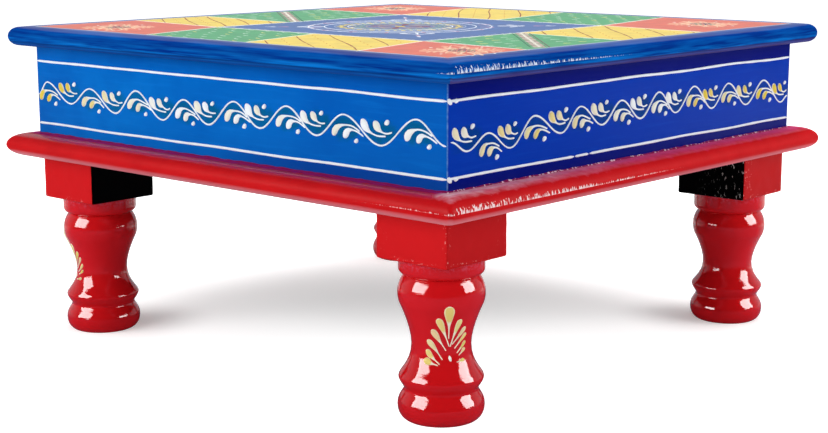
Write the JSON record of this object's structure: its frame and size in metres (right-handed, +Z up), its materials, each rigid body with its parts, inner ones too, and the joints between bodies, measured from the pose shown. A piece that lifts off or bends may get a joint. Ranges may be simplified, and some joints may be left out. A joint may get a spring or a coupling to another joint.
{
  "type": "low table",
  "caption": "Square painted wooden low table: rounded top board on a shallow box, wider rounded board below, on short turned legs.",
  "frame": {"origin": "centre of the base, on the surface that the four feet stand on", "axes": "+Z up; -Y front, +X right; the sides of the square boards lie along X and Y"},
  "size_m": [0.305, 0.305, 0.1593],
  "materials": {
    "top_enamel": "gloss enamel, blue edge, top quartered in red, yellow, green and slate blue",
    "blue_enamel": "gloss blue enamel on wood",
    "red_enamel": "gloss red enamel on wood",
    "cream_enamel": "raised cream and gold paint strokes",
    "bare_wood": "bare sawn wood",
    "plain_steel": "plain steel"
  },
  "bodies": {
    "root": {"top_board": "top_enamel", "lower_board": "red_enamel", "apron_front": "blue_enamel", "apron_right": "blue_enamel", "apron_back": "blue_enamel", "apron_left": "blue_enamel", "leg_front_left": "red_enamel", "leg_front_right": "red_enamel", "leg_back_right": "red_enamel", "leg_back_left": "red_enamel", "corner_block_front_left": "bare_wood", "corner_block_front_right": "bare_wood", "corner_block_back_right": "bare_wood", "corner_block_back_left": "bare_wood", "top_nail_front_a": "plain_steel", "top_nail_front_b": "plain_steel", "top_nail_right_a": "plain_steel", "top_nail_right_b": "plain_steel", "top_nail_back_a": "plain_steel", "top_nail_back_b": "plain_steel", "top_nail_left_a": "plain_steel", "top_nail_left_b": "plain_steel", "base_nail_front_a": "plain_steel", "base_nail_front_b": "plain_steel", "base_nail_right_a": "plain_steel", "base_nail_right_b": "plain_steel", "base_nail_back_a": "plain_steel", "base_nail_back_b": "plain_steel", "base_nail_left_a": "plain_steel", "base_nail_left_b": "plain_steel", "corner_nail_front_left_low": "plain_steel", "corner_nail_front_left_high": "plain_steel", "corner_nail_front_right_low": "plain_steel", "corner_nail_front_right_high": "plain_steel", "corner_nail_back_right_low": "plain_steel", "corner_nail_back_right_high": "plain_steel", "corner_nail_back_left_low": "plain_steel", "corner_nail_back_left_high": "plain_steel", "leg_screw_front_left": "plain_steel", "leg_screw_front_right": "plain_steel", "leg_screw_back_right": "plain_steel", "leg_screw_back_left": "plain_steel"}
  },
  "joints": []
}
